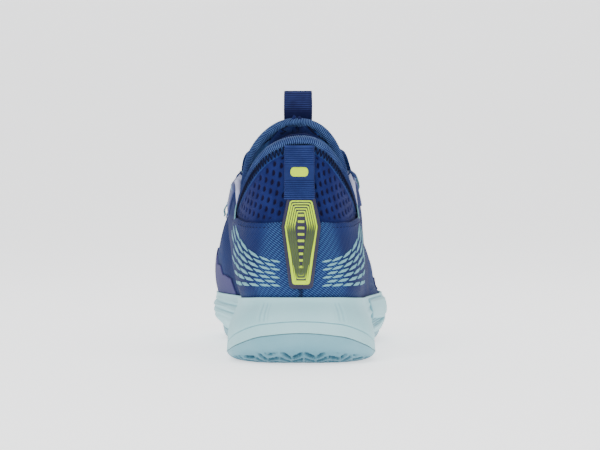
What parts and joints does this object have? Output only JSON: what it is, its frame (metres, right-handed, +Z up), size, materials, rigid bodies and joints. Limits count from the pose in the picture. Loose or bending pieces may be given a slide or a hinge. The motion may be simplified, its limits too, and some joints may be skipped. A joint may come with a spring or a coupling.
{
  "type": "court shoe",
  "caption": "Low court shoe for the right foot with a sock-like knitted bootie, woven shell, lace flaps, cupped foam sole, side outrigger, heel badge and webbing pull loops.",
  "frame": {"origin": "on the ground, under the centre of the shoe's bounding box", "axes": "+Y towards the toe, +X to the outer (lateral) side of the right foot, +Z up"},
  "size_m": [0.1116, 0.3, 0.1534],
  "materials": {
    "outsole": "matte",
    "midsole": "satin foam",
    "shank": "satin",
    "board": "felted",
    "insole": "brushed",
    "woven_shell": "woven",
    "sock_knit": "fine knit",
    "collar_mesh": "dimpled mesh",
    "foam": "open cell foam",
    "stiffener": "matte",
    "drag_film": "satin",
    "toe_rubber": "matte",
    "rib_knit": "rib knit",
    "eyestay": "satin film",
    "facing": "brushed",
    "lace": "flat woven",
    "aglet": "gloss",
    "webbing": "grosgrain",
    "badge": "satin",
    "emblem": "satin",
    "loop_webbing": "woven"
  },
  "bodies": {
    "rearfoot": {"outsole_rear": "outsole", "midsole_rear": "midsole", "midfoot_shank": "shank", "lateral_outrigger": "midsole", "strobel_board": "board", "insole": "insole", "lateral_quarter": "woven_shell", "medial_quarter": "woven_shell", "vamp": "woven_shell", "inner_sock": "sock_knit", "heel_collar_panel": "collar_mesh", "collar_foam": "foam", "heel_counter": "stiffener", "tongue_cover": "sock_knit", "tongue_foam": "foam", "forefoot_drag_guard": "drag_film", "collar_binding": "rib_knit", "lateral_eyestay": "eyestay", "medial_eyestay": "eyestay", "lateral_flap_facing": "facing", "medial_flap_facing": "facing", "lace": "lace", "lateral_aglet": "aglet", "medial_aglet": "aglet", "heel_pull_tab": "webbing", "heel_badge": "badge", "tab_emblem": "emblem", "lateral_lace_loop_1": "loop_webbing", "lateral_lace_loop_2": "loop_webbing", "lateral_lace_loop_3": "loop_webbing", "lateral_lace_loop_4": "loop_webbing", "lateral_lace_loop_5": "loop_webbing", "lateral_lace_loop_6": "loop_webbing", "medial_lace_loop_1": "loop_webbing", "medial_lace_loop_2": "loop_webbing", "medial_lace_loop_3": "loop_webbing", "medial_lace_loop_4": "loop_webbing", "medial_lace_loop_5": "loop_webbing", "medial_lace_loop_6": "loop_webbing"},
    "forefoot": {"outsole_forefoot": "outsole", "midsole_forefoot": "midsole", "toe_box": "woven_shell", "toe_puff": "stiffener", "toe_guard": "toe_rubber"},
    "tongue_loop": {"tongue_pull_loop": "webbing"}
  },
  "joints": [
    {"name": "forefoot_flex", "type": "hinge", "parent": "rearfoot", "child": "forefoot", "pos_m": [0.00137, 0.06, 0.02], "axis": [0.9816, -0.1908, 0], "range_deg": [0, 35], "stiffness_Nm_per_rad": 4, "deforming": ["vamp", "inner_sock", "insole", "strobel_board", "forefoot_drag_guard"]},
    {"name": "tongue_loop_fold", "type": "hinge", "parent": "rearfoot", "child": "tongue_loop", "pos_m": [-0.00043, -0.0276, 0.1324], "axis": [1, 0, 0], "range_deg": [-60, 28], "stiffness_Nm_per_rad": 0.01}
  ]
}
